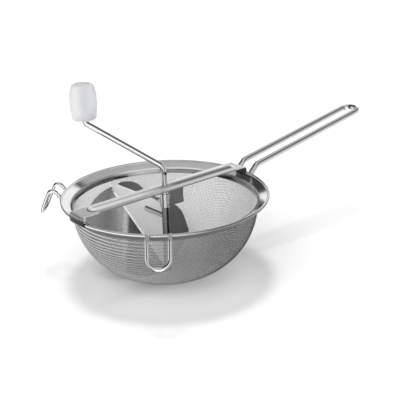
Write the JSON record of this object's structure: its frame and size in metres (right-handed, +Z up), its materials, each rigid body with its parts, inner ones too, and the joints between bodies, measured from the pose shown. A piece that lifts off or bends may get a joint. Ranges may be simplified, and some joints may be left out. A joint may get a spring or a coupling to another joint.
{
  "type": "hand-cranked food mill",
  "caption": "Wire-cloth sieve with a flanged rim, loop handle and rest hooks, and a bridge that carries a spring-loaded crank with a sheet-metal press paddle.",
  "frame": {"origin": "middle of the bowl's flat bottom, on the crank's axis", "axes": "+X along the handle, +Z up along the crank's axis"},
  "size_m": [0.4167, 0.224, 0.2141],
  "materials": {
    "wire_cloth": "fine woven wire, bright",
    "rim_steel": "satin",
    "chrome_wire": "bright polished",
    "bridge_steel": "satin",
    "spring_steel": "bright",
    "paddle_steel": "bright sheet",
    "knob_plastic": "translucent white"
  },
  "bodies": {
    "sieve": {"wire_cloth_bowl": "wire_cloth", "rim_ring": "rim_steel", "cloth_clamp_band": "rim_steel", "handle_loop": "chrome_wire", "rest_hook_left": "chrome_wire", "rest_hook_front": "chrome_wire"},
    "bridge": {"bridge_bar": "bridge_steel", "bearing_bush": "bridge_steel", "pressure_spring": "spring_steel"},
    "thrust": {"thrust_washer": "spring_steel"},
    "crank": {"spring_cup": "chrome_wire", "hub_tube": "chrome_wire", "crank_rod": "chrome_wire", "paddle_web": "paddle_steel", "web_rib": "paddle_steel", "paddle_press_plate": "paddle_steel", "paddle_rear_leaf": "paddle_steel", "knob_washer": "spring_steel"},
    "knob": {"knob": "knob_plastic", "knob_cap": "knob_plastic"}
  },
  "joints": [
    {"name": "bridge_tilt", "type": "hinge", "parent": "sieve", "child": "bridge", "pos_m": [-0.1105, 0, 0.08959], "axis": [0, -1, 0], "range_deg": [0, 25]},
    {"name": "paddle_float", "type": "slide", "parent": "bridge", "child": "thrust", "axis": [0, 0, 1], "range_m": [0, 0.0025], "stiffness_N_per_m": 800, "springref_m": -0.008, "deforming": ["pressure_spring"]},
    {"name": "crank_spin", "type": "hinge", "parent": "thrust", "child": "crank", "pos_m": [0, 0, 0], "axis": [0, 0, 1], "continuous": true},
    {"name": "knob_spin", "type": "hinge", "parent": "crank", "child": "knob", "pos_m": [-0.06339, 0.04847, 0.19], "axis": [0, 0, 1], "continuous": true}
  ]
}
